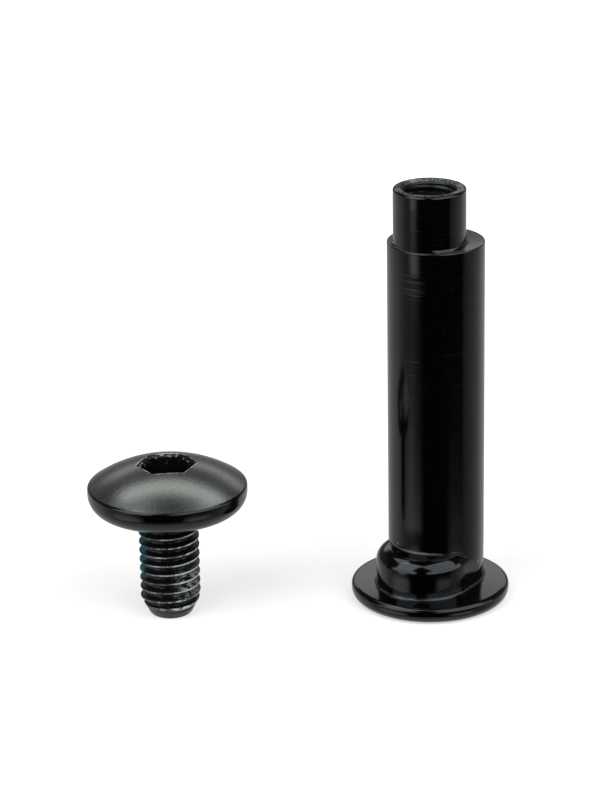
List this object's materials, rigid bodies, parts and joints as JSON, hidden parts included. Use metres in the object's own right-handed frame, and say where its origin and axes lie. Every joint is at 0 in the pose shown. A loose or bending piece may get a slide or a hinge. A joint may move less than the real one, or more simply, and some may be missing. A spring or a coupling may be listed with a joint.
{
  "type": "inline skate axle",
  "caption": "Two-piece skate wheel axle: a headed sleeve with a slot-shaped key, an offset barrel and a tapped spigot, and the domed screw that closes its end.",
  "frame": {"origin": "centre of the flat outer face of the sleeve's head, which the sleeve stands on", "axes": "+Z along the sleeve, from its head to its tapped end; +Y away from the viewer, +X to the right"},
  "size_m": [0.0348, 0.0168, 0.0356],
  "materials": {
    "sleeve_black": "gloss",
    "screw_black": "satin"
  },
  "bodies": {
    "root": {"axle_sleeve": "sleeve_black", "axle_screw": "screw_black"}
  },
  "joints": []
}
